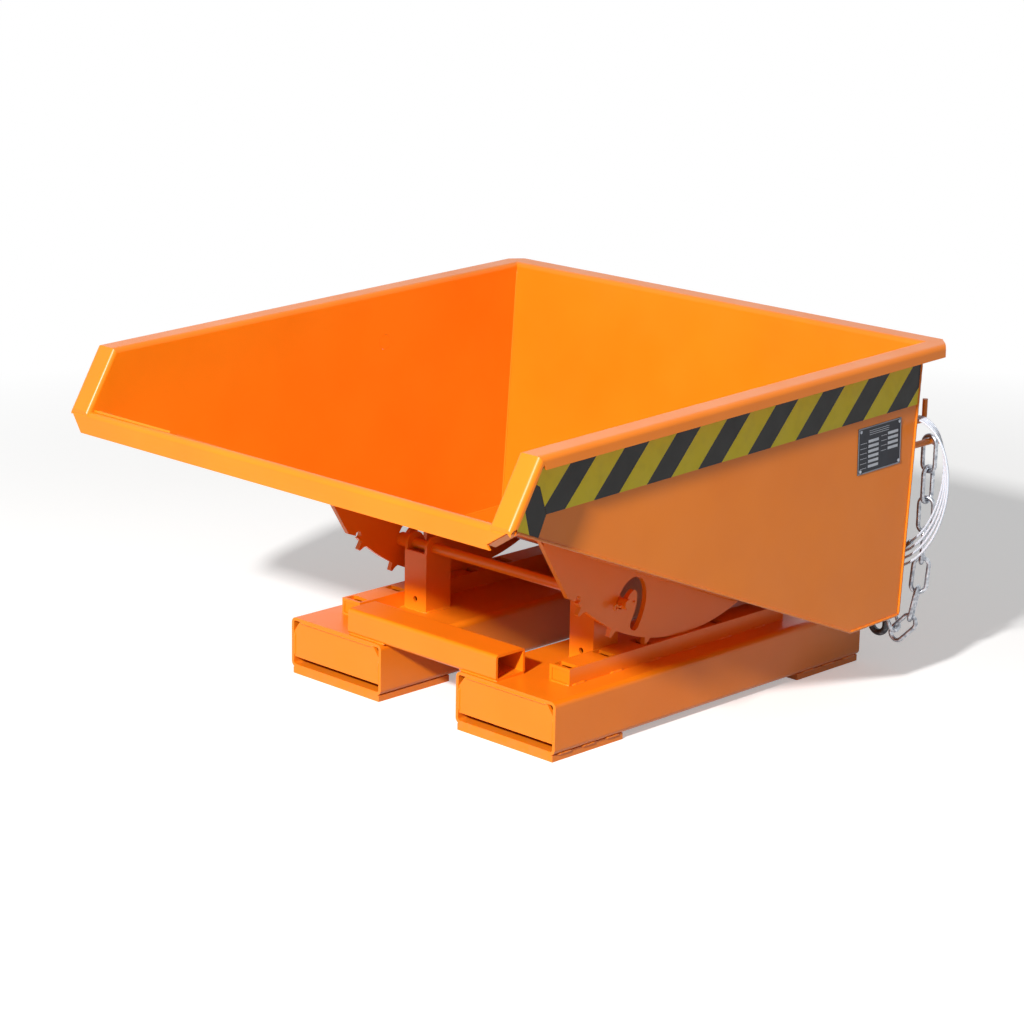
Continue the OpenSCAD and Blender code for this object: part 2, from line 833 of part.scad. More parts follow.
// Rocker plate outline, from the roll axis: rim below, the bin's floor above
module rocker_outline() {
    rear_y1 = rim_r;
    under = 0.2;
    front_top = at_y(lip_world, fold_world, -rocker_brow) - [0, under];
    rear_top = at_y(lip_world, fold_world, rear_y1) - [0, under];
    toe_pt = polar(toe_angle, rim_r + toe_out);
    difference() {
        union() {
            intersection() {
                circle(r = rim_r, $fn = 360);
                polygon([front_top, toe_pt, polar(toe_angle, rim_r * 1.3), [rim_r, -rim_r * 1.3], rear_top]);
            }
            polygon([front_top, toe_pt, polar(notch_angle + 1, rim_r + 1), polar(notch_angle, rim_r - 20)]);
            for (k = [0:teeth - 1])
                rotate(-k * tooth_step) tooth();
        }
        translate(polar(notch_angle, rim_r - notch_r + 1)) circle(r = notch_r);
        hook_slot();
    }
}

module rocker(side) {
    color(steel)
    on_axis() side_plate(side, rocker_in, rocker_out) rocker_outline();
}

// Hazard tape and rating plate

tape_top = tape_z + tape_w;
tape_x = wall_out + 0.1;
// Point at the distance d behind the slanted front edge, at height z
function behind_edge(d, z) = at_z(lip_pt, brow_pt, z) + [d / front_dir[1], 0];
// The seam between the two pieces runs down from the band's middle, the gap d ahead of it
function seam(d) = [
    behind_edge(tape_back + tape_w * 1.1 - d, tape_z),
    behind_edge(tape_back + tape_w * 0.667 - d, tape_z + tape_w * 0.55),
    behind_edge(tape_back + tape_w * 0.57 - d, tape_z + tape_w * 0.6),
];

module hazard_tape(side) {
    color("#e8d040")
    on_bin()
        side_plate(side, tape_x, tape_x + tape_t)
            polygon(concat(seam(0), [
                behind_edge(tape_back + tape_w / 2, tape_top),
                [wall_y(tape_top) - 1, tape_top], [wall_y(tape_z) - 1, tape_z],
            ]));
}

module hazard_tape_front(side) {
    low = at_y(lip_pt, fold_pt, lip_pt[0] + bend_r + tape_back);
    far = at_y(lip_pt, fold_pt, lip_pt[0] + tape_w + 1.25 * tape_back);
    color("#e8d040")
    on_bin()
        side_plate(side, tape_x, tape_x + tape_t)
            polygon(concat([low, far], seam(0.5), [behind_edge(tape_back, tape_z + tape_w * 0.6)]));
}

plate_z = tape_z - plate_gap;
module rating_plate() {
    color("#23272e")
    on_bin()
        difference() {
            side_plate(1, wall_out, wall_out + plate_t)
                translate([plate_back, plate_z - plate[1]]) square(plate);
            rivet_places() bar_x(wall_out - 1, wall_out + plate_t + 1, rivet_d * 0.6);
        }
}

module rivet_places() {
    for (i = [0, 1], j = [0, 1])
        translate([0, plate_back + rivet_d + i * (plate[0] - 2 * rivet_d), plate_z - rivet_d - j * (plate[1] - 2 * rivet_d)])
            children();
}

module plate_rivets() {
    color(zinc)
    on_bin()
        rivet_places() {
            bar_x(wall_out, wall_out + plate_t, rivet_d * 0.6);
            bar_x(wall_out + plate_t, wall_out + plate_t + 1.2, rivet_d);
        }
}

// Rope hook: a bar out of the rear wall with its end turned up

hook_z = 420;
hook_out = 36;
hook_up = 32;
hook_wall = wall_world(hook_z - roll_z)[0];

module rope_hook() {
    bend = hook_d;
    color(steel)
    translate([hook_x, hook_wall, hook_z]) {
        bar_y(0, hook_out - bend, hook_d);
        translate([0, hook_out - bend, bend]) rotate([0, 90, 0])
            rotate_extrude(angle = 90) translate([bend, 0]) circle(d = hook_d);
        translate([0, hook_out, bend]) cylinder(h = hook_up - bend, d = hook_d);
    }
}

// Tube of n sides swept along points that lie roughly in an upright plane across Y
module tube(points, r, n) {
    last = len(points) - 1;
    function along(i) = unit(points[min(i + 1, last)] - points[max(i - 1, 0)]);
    function ring(i) =
        let (t = along(i), u = unit(cross(t, [0, 1, 0])), v = cross(t, u))
        [for (k = [0:n - 1]) points[i] + r * (u * cos(360 * k / n) + v * sin(360 * k / n))];
    polyhedron(
        points = [for (i = [0:last]) each ring(i)],
        faces = concat(
            [[for (k = [0:n - 1]) k]],
            [for (i = [0:last - 1], k = [0:n - 1]) each [
                [i * n + k, (i + 1) * n + k, (i + 1) * n + (k + 1) % n],
                [i * n + k, (i + 1) * n + (k + 1) % n, i * n + (k + 1) % n],
            ]],
            [[for (k = [n - 1:-1:0]) last * n + k]]
        ),
        convexity = 10
    );
}

// Pull rope: loops hang on the hook, one beside the other, each a little smaller
rope_first = -60;
rope_last = (rope_loops - 1) * 360 + 150;
rope_pitch = rope_d + 1.5;
rope_y0 = hook_wall + 9;
rope_top = hook_z + (hook_d + rope_d) / 2 + 0.4;
loop_half = 88;
loop_drop = 122;
loop_lean = 40;

function rope_point(a) =
    let (n = a / 360, w = loop_half - 7 * n, h = loop_drop - 5 * n)
    [
        hook_x + w * sin(a) - loop_lean * (1 - cos(a)) / 2,
        rope_y0 + rope_pitch * n,
        rope_top - h * (1 - cos(a)),
    ];
coil_points = [for (a = [rope_first:15:rope_last]) rope_point(a)];
coil_gap = min([
    for (i = [0:len(coil_points) - 1], j = [i + 6:1:len(coil_points) - 1])
        norm(coil_points[i] - coil_points[j]),
]) - rope_d;
echo("least gap between the rope's loops, mm", coil_gap);

module pull_rope_coil() {
    color("#d8dde6") tube(coil_points, rope_d / 2, 6);
}

// The rope's run from the latch to its loops, by hand
sleeve_d = rope_d * 2.2;
sleeve_l = 18;
rope_eye = latch_y + 16;
rope_up = latch_z + lever_arm + lever_eye + sleeve_l + 0.2;
rope_run = [
    [0, rope_eye, rope_up], [2, rope_eye - 1, rope_up + 12], [24, rope_eye - 10, rope_up + 34],
    [90, rope_eye - 22, rope_up + 34], [170, rope_eye - 28, rope_up + 30],
    [240, rope_eye - 31, rope_up + 42], [290, rope_eye - 32, rope_up + 64],
];
function curve_point(p, i, t) =
    let (a = p[max(i - 1, 0)], b = p[i], c = p[i + 1], d = p[min(i + 2, len(p) - 1)])
    (2 * b + (c - a) * t + (2 * a - 5 * b + 4 * c - d) * t * t + (3 * b - a - 3 * c + d) * t * t * t) / 2;
coil_start = rope_point(rope_first);
coil_dir = unit(rope_point(rope_first + 1) - coil_start);
lead_route = concat(rope_run, [coil_start - coil_dir * 8, coil_start]);
lead_points = concat(
    [for (i = [0:len(lead_route) - 2], t = [0:0.25:0.99]) curve_point(lead_route, i, t)],
    [coil_start]
);

module pull_rope_lead() {
    color("#d8dde6") tube(lead_points, rope_d / 2, 8);
}

// Pressed sleeves on the rope's two ends
module rope_ferrules() {
    last = len(coil_points) - 1;
    tail = coil_points[last];
    tail_dir = unit(tail - coil_points[last - 1]);
    color(zinc) {
        translate(lead_points[0] - [0, 0, sleeve_l]) cylinder(h = sleeve_l, d = sleeve_d);
        translate(tail)
            rotate([0, atan2(tail_dir[0], tail_dir[2]), 0]) cylinder(h = sleeve_l, d = sleeve_d);
    }
}

// Safety chain. A link's slope is measured from straight down towards the left

peg_z = 382;
chain_y = hook_wall + hook_out + hook_d / 2 + link_w / 2 + 4;
hook_strand_y = chain_y + 19.5;
link_r = (link_w - wire_d) / 2;
link_arc = link_in / 2 + wire_d / 2 - link_r;
link_reach = link_arc + link_r;
link_seat = link_r - wire_d - link_gap;
peg_nest = [0, 0, link_r - wire_d / 2 - link_gap - peg_d / 2];
strand_slopes = [0, 0, 0, 3, 5, 12, 45, 155, 176, 180, 180];
// Extra turn of each link about its length, which brings the lower ones face on
strand_twists = [0, 0, 15, 30, 40, 25, 0, 0, 0, 0, 0];
hook_slopes = [32, 16, 0];
hook_twists = [0, 0, 0];

function slope_dir(a) = [-sin(a), 0, -cos(a)];
// Step from one link's centre to the next one's, where the wires seat in each other
function link_step(a, b, i) =
    i % 2 == 0 ? slope_dir(a) * link_arc + slope_dir(b) * (link_seat + link_reach)
    : slope_dir(a) * (link_reach + link_seat) + slope_dir(b) * link_arc;
function centres(c, slopes, i = 0) =
    i == len(slopes) - 1 ? [c]
    : concat([c], centres(c + link_step(slopes[i], slopes[i + 1], i), slopes, i + 1));
function hung_from(peg, slope) = peg - peg_nest + slope_dir(slope) * link_arc;

peg_right = [hook_x - 4, chain_y, peg_z];
strand = centres(hung_from(peg_right, strand_slopes[0]), strand_slopes);
strand_last = len(strand_slopes) - 1;
peg_left = strand[strand_last] + slope_dir(strand_slopes[strand_last]) * link_arc + peg_nest;
hook_strand =
    centres(hung_from([peg_left[0], hook_strand_y, peg_left[2]], hook_slopes[0]), hook_slopes);
hook_top = hook_strand[len(hook_slopes) - 1] + slope_dir(0) * (link_reach - wire_d / 2);

module chain_link() {
    for (side = [-1, 1]) {
        translate([side * link_r, 0, -link_arc]) cylinder(h = 2 * link_arc, d = wire_d, $fn = 32);
        translate([0, 0, side * link_arc])
            rotate([90, 0, 0]) rotate(side > 0 ? 0 : 180)
                rotate_extrude(angle = 180, $fn = 48) translate([link_r, 0]) circle(d = wire_d, $fn = 32);
    }
}

// Links of one strand whose number is even, for parity 0, or odd, for parity 1
module links(places, slopes, twists, parity) {
    for (i = [parity:2:len(slopes) - 1])
        translate(places[i]) rotate([0, slopes[i], 0]) rotate([0, 0, 90 * i + twists[i]]) chain_link();
}

module chain_links(parity) {
    color(zinc) {
        links(strand, strand_slopes, strand_twists, parity);
        links(hook_strand, hook_slopes, hook_twists, parity);
    }
}

module chain_pegs() {
    head = 4;
    color(steel)
    for (peg = [[peg_right, chain_y], [peg_left, hook_strand_y]]) {
        foot = wall_world(peg[0][2] - roll_z)[0];
        tip = peg[1] + wire_d + head;
        translate([peg[0][0], 0, peg[0][2]]) {
            bar_y(foot, tip, peg_d);
            translate([0, tip, 0]) bar_y(0, head, peg_d + 6);
        }
    }
}

// Grab hook, drawn from the centre of its eye
eye_r = (wire_d + 8.5) / 2 + 3.6;
hook_body_d = 11;
bowl_r = 14;
throat_z = -50;
hook_place = hook_top + [0, 0, wire_d / 2 + link_gap - eye_r];
latch_root = [hook_body_d / 2 + 3, -28];
latch_tip = [2 * bowl_r - 2, throat_z + 6];

module grab_hook() {
    ear_w = 3;
    color("#55585e")
    translate(hook_place)
        difference() {
            union() {
                rotate([0, 90, 0]) rotate_extrude($fn = 48) translate([eye_r, 0]) circle(d = wire_d, $fn = 32);
                translate([0, 0, throat_z]) cylinder(h = -throat_z - eye_r, d = hook_body_d);
                translate([bowl_r, 0, throat_z]) rotate([90, 0, 0]) rotate([0, 0, 180])
                    rotate_extrude(angle = 180) translate([bowl_r, 0]) circle(d = hook_body_d);
                translate([2 * bowl_r, 0, throat_z]) cylinder(h = 5, d = hook_body_d);
                translate([2 * bowl_r, 0, throat_z + 5]) sphere(d = hook_body_d);
                for (side = [-1, 1])
                    translate([0, side * (hook_body_d / 2 - ear_w / 2), 0])
                        translate([0, -ear_w / 2, latch_root[1] - 5]) cube([latch_root[0] + 4, ear_w, 10]);
            }
            translate([latch_root[0], 0, latch_root[1]]) bar_y(-hook_body_d, hook_body_d, 3);
        }
}

module hook_pin() {
    color(zinc)
    translate(hook_place + [latch_root[0], 0, latch_root[1]])
        bar_y(-hook_body_d / 2 - 1, hook_body_d / 2 + 1, 3);
}

// Spring catch across the hook's throat
module hook_latch() {
    t = 1.5;
    w = hook_body_d - 6.6;
    span = latch_tip - latch_root;
    color("#a33a20")
    translate(hook_place + [latch_root[0], 0, latch_root[1]])
        difference() {
            union() {
                bar_y(-w / 2, w / 2, 6);
                rotate([0, -atan2(span[1], span[0]), 0])
                    translate([0, -w / 2, 0]) cube([norm(span) - 8, w, t]);
            }
            bar_y(-w, w, 3.1);
        }
}

fork_pocket(-1);  // fork_pocket_left
fork_pocket(1);  // fork_pocket_right
pocket_end_plate(-1);  // pocket_end_plate_left
pocket_end_plate(1);  // pocket_end_plate_right
foot_pads(front_y);  // front_foot_pads
foot_pads(rear_y - pad_l);  // rear_foot_pads
cross_tube(front_y + cross_inset);  // front_cross_tube
cross_tube(cross_rear_y);  // rear_cross_tube
rack_rail(-1);  // rack_rail_left
rack_rail(1);  // rack_rail_right
rail_end_plates();
post(-1);  // post_left
post(1);  // post_right
guide_rod();
rod_collars();
split_pins();
catch_lugs();
catch_bar();
centre_plugs();
side_wall(-1);  // side_wall_left
side_wall(1);  // side_wall_right
floor_plate();
rear_wall();
rim_side(-1);  // rim_left
rim_side(1);  // rim_right
rim_rear();
front_flange(-1);  // front_flange_left
front_flange(1);  // front_flange_right
lip_flange();
lip_weld_strip();
rocker(-1);  // rocker_left
rocker(1);  // rocker_right
hazard_tape(-1);  // hazard_tape_left
hazard_tape(1);  // hazard_tape_right
hazard_tape_front(-1);  // hazard_tape_front_left
hazard_tape_front(1);  // hazard_tape_front_right
rating_plate();
plate_rivets();
latch_bracket();
latch_pin();
latch_lever();
rope_hook();
pull_rope_coil();
pull_rope_lead();
rope_ferrules();
chain_pegs();
chain_links(0);  // chain_edge_links
chain_links(1);  // chain_face_links
grab_hook();
hook_pin();
hook_latch();
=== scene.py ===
"""Looks of a tipping hopper: powder coated steel, hazard tape, galvanised chain and a sheathed pull rope.

Lengths are in metres, in the shared frame: +Y is the rear, and the hopper pours to -Y.
"""

import json
import logging
import math
from dataclasses import dataclass, field
from enum import Enum

import bpy
import numpy as np
from mathutils import Matrix, Vector


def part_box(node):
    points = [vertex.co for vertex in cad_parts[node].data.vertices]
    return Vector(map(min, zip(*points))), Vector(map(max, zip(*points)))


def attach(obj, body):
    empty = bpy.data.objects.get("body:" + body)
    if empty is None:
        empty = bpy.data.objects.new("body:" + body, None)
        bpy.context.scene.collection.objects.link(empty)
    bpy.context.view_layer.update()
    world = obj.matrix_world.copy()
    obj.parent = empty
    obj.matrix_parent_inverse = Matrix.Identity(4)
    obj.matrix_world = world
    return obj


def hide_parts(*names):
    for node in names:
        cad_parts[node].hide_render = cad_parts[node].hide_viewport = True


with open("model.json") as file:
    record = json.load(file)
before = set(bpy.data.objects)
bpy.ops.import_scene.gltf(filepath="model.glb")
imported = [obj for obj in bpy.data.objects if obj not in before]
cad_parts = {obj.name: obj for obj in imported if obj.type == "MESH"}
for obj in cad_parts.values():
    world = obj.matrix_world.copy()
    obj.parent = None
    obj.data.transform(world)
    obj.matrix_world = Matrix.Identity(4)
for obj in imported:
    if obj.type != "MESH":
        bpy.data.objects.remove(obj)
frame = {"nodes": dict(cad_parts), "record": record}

LOG = logging.getLogger("tipping_hopper")
MM = 0.001
Triple = tuple[float, float, float]
Colour = Triple
WHITE: Colour = (1.0, 1.0, 1.0)
EYE_RAYS = ("Is Camera Ray", "Is Glossy Ray", "Is Transmission Ray")
# Corners of a box are numbered with x slowest and z fastest
BOX_FACES = [[0, 1, 3, 2], [4, 6, 7, 5], [0, 4, 5, 1], [2, 3, 7, 6], [0, 2, 6, 4], [1, 5, 7, 3]]


class Body(Enum):
    """Rigid bodies that the pieces ride on."""

    BASE = "base"
    HOPPER = "hopper"
    LEVER = "latch_lever"


class Slot(Enum):
    """Material slots of the record."""

    ORANGE = "orange"
    ZINC = "zinc"
    TAPE = "tape"
    PLATE = "plate"
    ROPE = "rope"
    BLACK_STEEL = "black_steel"
    RED_STEEL = "red_steel"


def centre_of(node: str) -> Vector:
    """Middle of a CAD node's box.

    Args:
        node: name of the node.

    Returns:
        The point, in metres.
    """
    low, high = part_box(node)
    return (low + high) / 2


def linear(hex_code: str) -> Colour:
    """Turns a screen colour into the linear values that shaders use.

    Args:
        hex_code: six hexadecimal digits, such as "ff8800".

    Returns:
        Red, green and blue from 0 to 1.
    """
    values = [int(hex_code[i:i + 2], 16) / 255 for i in (0, 2, 4)]
    return tuple(v / 12.92 if v <= 0.04045 else ((v + 0.055) / 1.055) ** 2.4 for v in values)


def eye_rays(tree: bpy.types.NodeTree) -> bpy.types.NodeSocket:
    """One for camera, glossy and transmission rays, nought for the light that falls on the hopper.

    Args:
        tree: the material's or the world's nodes.

    Returns:
        The output, the largest of the three rays' values.
    """
    rays = tree.nodes.new("ShaderNodeLightPath").outputs
    last = rays[EYE_RAYS[0]]
    for name in EYE_RAYS[1:]:
        step = tree.nodes.new("ShaderNodeMath")
        step.operation = "MAXIMUM"
        tree.links.new(last, step.inputs[0])
        tree.links.new(rays[name], step.inputs[1])
        last = step.outputs[0]
    return last


# ---------------------------------------------------------------- finishes


class Graph:
    """Short way to write a material's nodes."""

    def __init__(self, name: str) -> None:
        """Starts a material of that name with an empty shader."""
        self.material = bpy.data.materials.new(name)
        self.material.use_nodes = True
        self.tree = self.material.node_tree
        self.shader = self.tree.nodes["Principled BSDF"]
        self.coords = self.tree.nodes.new("ShaderNodeTexCoord").outputs["Object"]

    def node(self, kind: str, inputs: dict, **settings: object) -> bpy.types.Node:
        """Adds one node.

        Args:
            kind: its type without the ShaderNode in front.
            inputs: socket name or number to a value, or to another node's output.
            settings: properties to set on the node first.

        Returns:
            The new node.
        """
        made = self.tree.nodes.new("ShaderNode" + kind)
        for name, value in settings.items():
            setattr(made, name, value)
        for key, value in inputs.items():
            if isinstance(value, bpy.types.NodeSocket):
                self.tree.links.new(value, made.inputs[key])
            else:
                made.inputs[key].default_value = value
        return made

    def noise(self, scale: float, detail: float = 3.0,
              stretch: Triple = (1, 1, 1)) -> bpy.types.NodeSocket:
        """Noise in object space, finer with a larger scale per metre, from 0 to 1."""
        mapped = self.node("Mapping", {"Vector": self.coords, "Scale": stretch})
        made = self.node("TexNoise", {"Vector": mapped.outputs[0], "Scale": scale, "Detail": detail})
        return made.outputs[0]

    def ramp(self, value: bpy.types.NodeSocket, low: float, high: float,
             to_low: float, to_high: float) -> bpy.types.NodeSocket:
        """Carries low..high onto to_low..to_high, and holds it outside that range."""
        made = self.node("MapRange", {0: value, 1: low, 2: high, 3: to_low, 4: to_high})
        return made.outputs[0]

    def mix(self, factor: bpy.types.NodeSocket | float, a: object, b: object) -> bpy.types.NodeSocket:
        """Blends two colours: a where the factor is 0, b where it is 1."""
        made = self.node("MixRGB", {0: factor})
        for index, colour in ((1, a), (2, b)):
            if isinstance(colour, bpy.types.NodeSocket):
                self.tree.links.new(colour, made.inputs[index])
            else:
                made.inputs[index].default_value = (*colour, 1)
        return made.outputs[0]

    def maths(self, kind: str, *values: bpy.types.NodeSocket | float) -> bpy.types.NodeSocket:
        """One step of arithmetic on one value, such as FRACT, or on two, such as MULTIPLY."""
        return self.node("Math", dict(enumerate(values)), operation=kind).outputs[0]

    def along(self, direction: Triple, origin: Vector) -> bpy.types.NodeSocket:
        """Distance from the origin along a direction, in metres."""
        offset = self.node("VectorMath", {0: self.coords, 1: tuple(origin)}, operation="SUBTRACT")
        made = self.node("VectorMath", {0: offset.outputs[0], 1: direction}, operation="DOT_PRODUCT")
        return made.outputs["Value"]

    def bump(self, height: bpy.types.NodeSocket, depth: float) -> None:
        """Gives the surface a relief of that depth in metres."""
        made = self.node("Bump", {"Height": height, "Distance": depth, "Strength": 1.0})
        self.tree.links.new(made.outputs[0], self.shader.inputs["Normal"])

    def finish(self, colour: object, roughness: object, **fixed: float) -> bpy.types.Material:
        """Sets the shader's colour, roughness and its constant sockets.

        Args:
            colour: a linear colour or an output.
            roughness: a value or an output.
            fixed: socket name, with _ for each space, to a value.

        Returns:
            The material.
        """
        for name, value in (("Base Color", colour), ("Roughness", roughness)):
            if isinstance(value, bpy.types.NodeSocket):
                self.tree.links.new(value, self.shader.inputs[name])
            else:
                self.shader.inputs[name].default_value = (*value, 1) if name == "Base Color" else value
        for name, value in fixed.items():
            self.shader.inputs[name.replace("_", " ")].default_value = value
        return self.material


@dataclass(frozen=True)
class PowderCoat:
    """Semi-gloss orange powder coat: fine orange peel, faint clouds, dust low down."""

    colour: Colour = linear("fa8714")
    deep: Colour = linear("f3800f")
    dust: Colour = linear("c08a5a")
    gloss: float = 0.34
    peel_scale: float = 420.0
    peel_depth: float = 0.00004
    cloud_scale: float = 6.0
    scuff_scale: float = 14.0
    dust_scale: float = 90.0
    dust_height: float = 0.03

    def material(self) -> bpy.types.Material:
        """Builds the coat's nodes."""
        g = Graph("orange_powder_coat")
        clouds = g.ramp(g.noise(self.cloud_scale, 4), 0.35, 0.7, 0, 1)
        colour = g.mix(clouds, self.colour, self.deep)
        height = g.along((0, 0, 1), Vector((0, 0, 0)))
        low = g.ramp(height, 0, self.dust_height, 0.25, 0)
        patchy = g.maths("MULTIPLY", low, g.ramp(g.noise(self.dust_scale, 5), 0.4, 0.7, 0, 1))
        colour = g.mix(patchy, colour, self.dust)
        scuffs = g.ramp(g.noise(self.scuff_scale, 5), 0.3, 0.8, -0.04, 0.06)
        g.bump(g.noise(self.peel_scale, 1), self.peel_depth)
        return g.finish(colour, g.maths("ADD", scuffs, self.gloss), Specular_IOR_Level=0.35,
                        Coat_Weight=0.08, Coat_Roughness=0.15)


@dataclass(frozen=True)
class Galvanised:
    """Zinc on steel: pale and dark patches, worn bright here and there."""

    pale: Colour = linear("d3d7de")
    dark: Colour = linear("8d939d")
    patch_scale: float = 160.0

    def material(self) -> bpy.types.Material:
        """Builds the zinc's nodes."""
        g = Graph("galvanised_steel")
        patches = g.noise(self.patch_scale, 5)
        colour = g.mix(g.ramp(patches, 0.32, 0.68, 0, 1), self.pale, self.dark)
        g.bump(g.noise(700, 2), 0.0001)
        return g.finish(colour, g.ramp(patches, 0.3, 0.7, 0.24, 0.42), Metallic=0.9)


@dataclass(frozen=True)
class PlainSteel:
    """Forged or lacquered small steel piece."""

    name: str
    colour: Colour
    worn: Colour
    metallic: float

    def material(self) -> bpy.types.Material:
        """Builds the steel's nodes: worn patches on the plain colour."""
        g = Graph(self.name)
        wear = g.ramp(g.noise(140, 6), 0.52, 0.68, 0, 1)
        g.bump(g.noise(500, 3), 0.00015)
        colour = g.mix(wear, self.colour, self.worn)
        return g.finish(colour, g.ramp(wear, 0, 1, 0.45, 0.3), Metallic=self.metallic)


@dataclass(frozen=True)
class HazardFilm:
    """Yellow film with slanted black stripes: a rise of 1 is 45 degrees to the bin's rim.

    A stripe is where (distance along the rim - rise x height - start) / pitch has a fraction below the share.
    """

    name: str
    axis: Vector
    lean: float
    pitch: float
    start: float
    rise: float
    share: float
    yellow: Colour = linear("f6e238")
    black: Colour = linear("151413")

    def material(self) -> bpy.types.Material:
        """Builds the film's nodes."""
        g = Graph(self.name)
        c, s = math.cos(self.lean), math.sin(self.lean)
        run = g.along((0, c + self.rise * s, s - self.rise * c), self.axis)
        phase = g.maths("DIVIDE", g.maths("SUBTRACT", run, self.start), self.pitch)
        dark = g.maths("LESS_THAN", g.maths("FRACT", phase), self.share)
        dirt = g.ramp(g.noise(60, 6), 0.45, 0.75, 0, 0.18)
        yellow = g.mix(dirt, self.yellow, linear("b8a63a"))
        rubbed = g.ramp(g.noise(220, 6, (1, 4, 1)), 0.62, 0.78, 0, 0.3)
        black = g.mix(rubbed, self.black, linear("4a4744"))
        g.bump(g.noise(120, 2), 0.00004)
        return g.finish(g.mix(dark, yellow, black), g.ramp(g.noise(40, 4), 0.3, 0.7, 0.4, 0.52),
                        Specular_IOR_Level=0.3)


@dataclass(frozen=True)
class PrintedFilm:
    """Dark or pale printed film of the rating plate."""

    name: str
    colour: Colour
    second: Colour

    def material(self) -> bpy.types.Material:
        """Builds the film's nodes: a faint worn cloud on the print."""
        g = Graph(self.name)
        cloud = g.ramp(g.noise(70, 5), 0.4, 0.75, 0, 0.6)
        g.bump(g.noise(300, 2), 0.00004)
        return g.finish(g.mix(cloud, self.colour, self.second), 0.4, Specular_IOR_Level=0.3)


@dataclass(frozen=True)
class RopeSheath:
    """Clear sheath over bright wire strands that wind round the rope's UV length, with painted shade
    darkening the grooves between them.
    """

    strands: int = 6
    strand: Colour = linear("e4ebf6")
    shaded_groove: Colour = linear("93a6c4")

    def material(self) -> bpy.types.Material:
        """Builds the rope's nodes: slanted grooves where fraction(strands x round + length) is near 0,
        painted darker as shade.
        """
        g = Graph("sheathed_wire_rope")
        uv = g.tree.nodes.new("ShaderNodeUVMap")
        uv.uv_map = "along"
        split = g.node("SeparateXYZ", {0: uv.outputs[0]})
        turns = g.maths("ADD", g.maths("MULTIPLY", split.outputs[0], self.strands), split.outputs[1])
        edge = g.maths("ABSOLUTE", g.maths("SUBTRACT", g.maths("FRACT", turns), 0.5))
        shaded_groove = g.ramp(edge, 0.3, 0.5, 0, 1)
        g.bump(g.maths("SUBTRACT", 1.0, shaded_groove), 0.0002)
        # Painted shade: the grooves between strands are coloured darker than the strands
        colour = g.mix(shaded_groove, self.strand, self.shaded_groove)
        return g.finish(colour, 0.22, Coat_Weight=0.6, Coat_Roughness=0.08)


# ---------------------------------------------------------------- surfaces


def surface(name: str, points: np.ndarray, closed: tuple[bool, bool],
            caps: bool = False) -> bpy.types.Object:
    """Makes a smooth shaded mesh object from a grid of points, [i, j] to a place.

    Args:
        name: the object's name.
        points: array of shape (n, m, 3), in metres.
        closed: whether the grid joins up along i and along j.
        caps: whether the first and last rows along i are closed by a face.

    Returns:
        The new object, at the origin.
    """
    n, m = points.shape[:2]
    i = np.arange(n if closed[0] else n - 1)
    j = np.arange(m if closed[1] else m - 1)
    a, b = np.meshgrid(i, j, indexing="ij")
    corners = [(a, b), (a, (b + 1) % m), ((a + 1) % n, (b + 1) % m), ((a + 1) % n, b)]
    faces = np.stack([x * m + y for x, y in corners], -1).reshape(-1, 4).tolist()
    if caps:
        faces += [list(range(m))[::-1], [(n - 1) * m + k for k in range(m)]]
    return mesh_object(name, points.reshape(-1, 3), faces, smooth=True)


def mesh_object(name: str, points: np.ndarray, faces: list[list[int]], smooth: bool) -> bpy.types.Object:
    """Puts points and faces into a new mesh object in the scene."""
    mesh = bpy.data.meshes.new(name)
    mesh.from_pydata(points.tolist(), [], faces)
    mesh.polygons.foreach_set("use_smooth", np.full(len(mesh.polygons), smooth))
    mesh.validate()
    made = bpy.data.objects.new(name, mesh)
    bpy.context.scene.collection.objects.link(made)
    return made


def joined(name: str, parts: list[bpy.types.Object]) -> bpy.types.Object:
    """Joins meshes into one object.

    Args:
        name: the new object's name.
        parts: the objects, which are used up.

    Returns:
        The joined object.
    """
    bpy.ops.object.select_all(action="DESELECT")
    for part in parts:
        part.select_set(True)
    bpy.context.view_layer.objects.active = parts[0]
    bpy.ops.object.join()
    parts[0].name = name
    parts[0].data.name = name
    return parts[0]


def resampled(route: np.ndarray, step: float) -> np.ndarray:
    """Points at equal steps of length along a broken line."""
    lengths = np.r_[0, np.cumsum(np.linalg.norm(np.diff(route, axis=0), axis=1))]
    count = max(2, int(round(lengths[-1] / step)) + 1)
    at = np.linspace(0, lengths[-1], count)
    return np.stack([np.interp(at, lengths, route[:, k]) for k in range(3)], -1)


def tube(name: str, route: np.ndarray, radius: np.ndarray, sides: int) -> bpy.types.Object:
    """Carries a circle along a route with closed ends.

    The circle's plane is across the route's direction, and its first axis is turned along
    step by step so that it doesn't twist.

    Args:
        name: the object's name.
        route: array (n, 3) of places.
        radius: radius at each place.
        sides: corners of the circle.

    Returns:
        The tube.
    """
    ahead = np.gradient(route, axis=0)
    ahead /= np.linalg.norm(ahead, axis=1)[:, None]
    first = np.zeros_like(route)
    guess = np.array([0.0, 1.0, 0.0]) if abs(ahead[0, 1]) < 0.9 else np.array([1.0, 0.0, 0.0])
    for k, t in enumerate(ahead):
        guess = guess - t * (guess @ t)
        guess /= np.linalg.norm(guess)
        first[k] = guess
    second = np.cross(ahead, first)
    turn = np.linspace(0, 2 * math.pi, sides, endpoint=False)
    ring = first[:, None] * np.cos(turn)[:, None] + second[:, None] * np.sin(turn)[:, None]
    return surface(name, route[:, None] + ring * radius[:, None, None], (False, True), caps=True)


